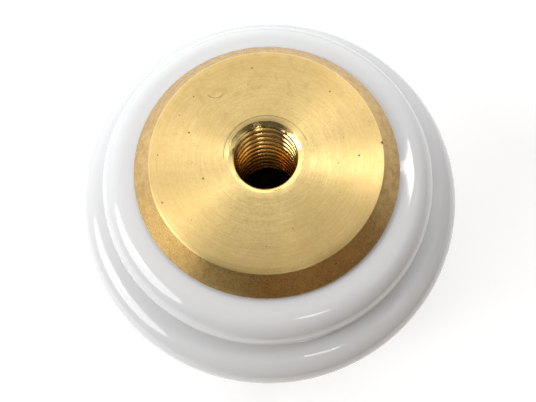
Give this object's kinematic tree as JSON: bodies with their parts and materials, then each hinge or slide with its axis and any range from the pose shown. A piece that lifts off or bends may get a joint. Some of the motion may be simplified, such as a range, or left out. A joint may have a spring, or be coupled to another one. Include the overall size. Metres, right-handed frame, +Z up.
{
  "type": "porcelain standoff insulator",
  "caption": "Stubby round porcelain standoff insulator with rounded corrugations and a tapped brass terminal insert cemented into each end.",
  "frame": {"origin": "centre of the lower brass insert's flat face, on the axis", "axes": "+Z up along the insulator's axis; +X and +Y are any two directions square to it"},
  "size_m": [0.0762, 0.0762, 0.0889],
  "materials": {
    "glaze": "white gloss glaze on porcelain",
    "brass": "lathe-turned, unpolished",
    "cement": "cast grey cement, dull",
    "grit": "coarse fired grit, unglazed",
    "cushion": "thin dark cushion washer, matt",
    "bitumen": "fibre disc soaked in black bitumen"
  },
  "bodies": {
    "root": {"porcelain_body": "glaze", "top_insert": "brass", "top_cement": "cement", "top_sand_band": "grit", "top_cushion_washer": "cushion", "top_pocket_disc": "bitumen", "bottom_insert": "brass", "bottom_cement": "cement", "bottom_sand_band": "grit", "bottom_cushion_washer": "cushion", "bottom_pocket_disc": "bitumen"}
  },
  "joints": []
}
